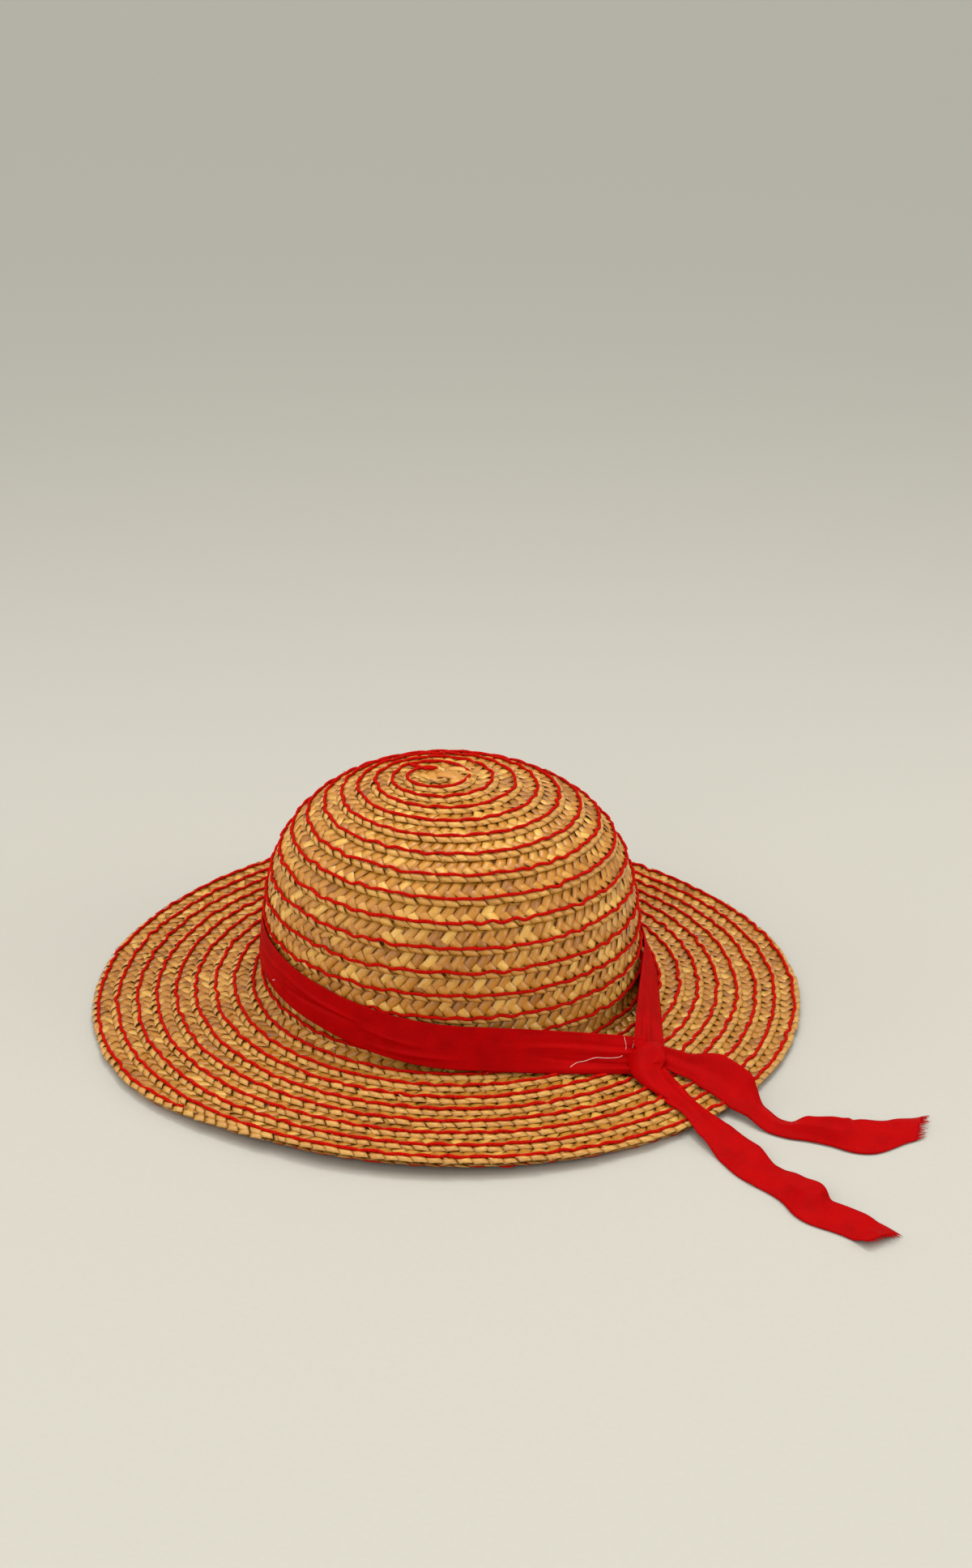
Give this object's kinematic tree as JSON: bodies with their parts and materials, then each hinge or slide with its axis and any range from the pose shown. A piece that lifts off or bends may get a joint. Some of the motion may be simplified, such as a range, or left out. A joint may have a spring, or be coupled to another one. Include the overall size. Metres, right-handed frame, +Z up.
{
  "type": "sun hat",
  "caption": "Sun hat of spirally sewn straw braid: round crown open underneath, wide flat brim, and a knotted ribbon with two loose tails.",
  "frame": {"origin": "on the surface that the hat rests on, under the middle of the whole hat with its ribbon tails", "axes": "+Z up through the crown, the front of the hat towards -Y, the ribbon's knot at the front right, towards +X and -Y"},
  "size_m": [0.3884, 0.3936, 0.1162],
  "materials": {
    "straw_crown": "glossy plaited straw with a red sewing thread",
    "straw_brim": "glossy plaited straw with a red sewing thread",
    "ribbon": "fine ribbed red taffeta with a soft sheen"
  },
  "bodies": {
    "root": {"crown": "straw_crown", "brim": "straw_brim", "band": "ribbon", "knot": "ribbon", "tail_long": "ribbon", "tail_short": "ribbon"}
  },
  "joints": []
}
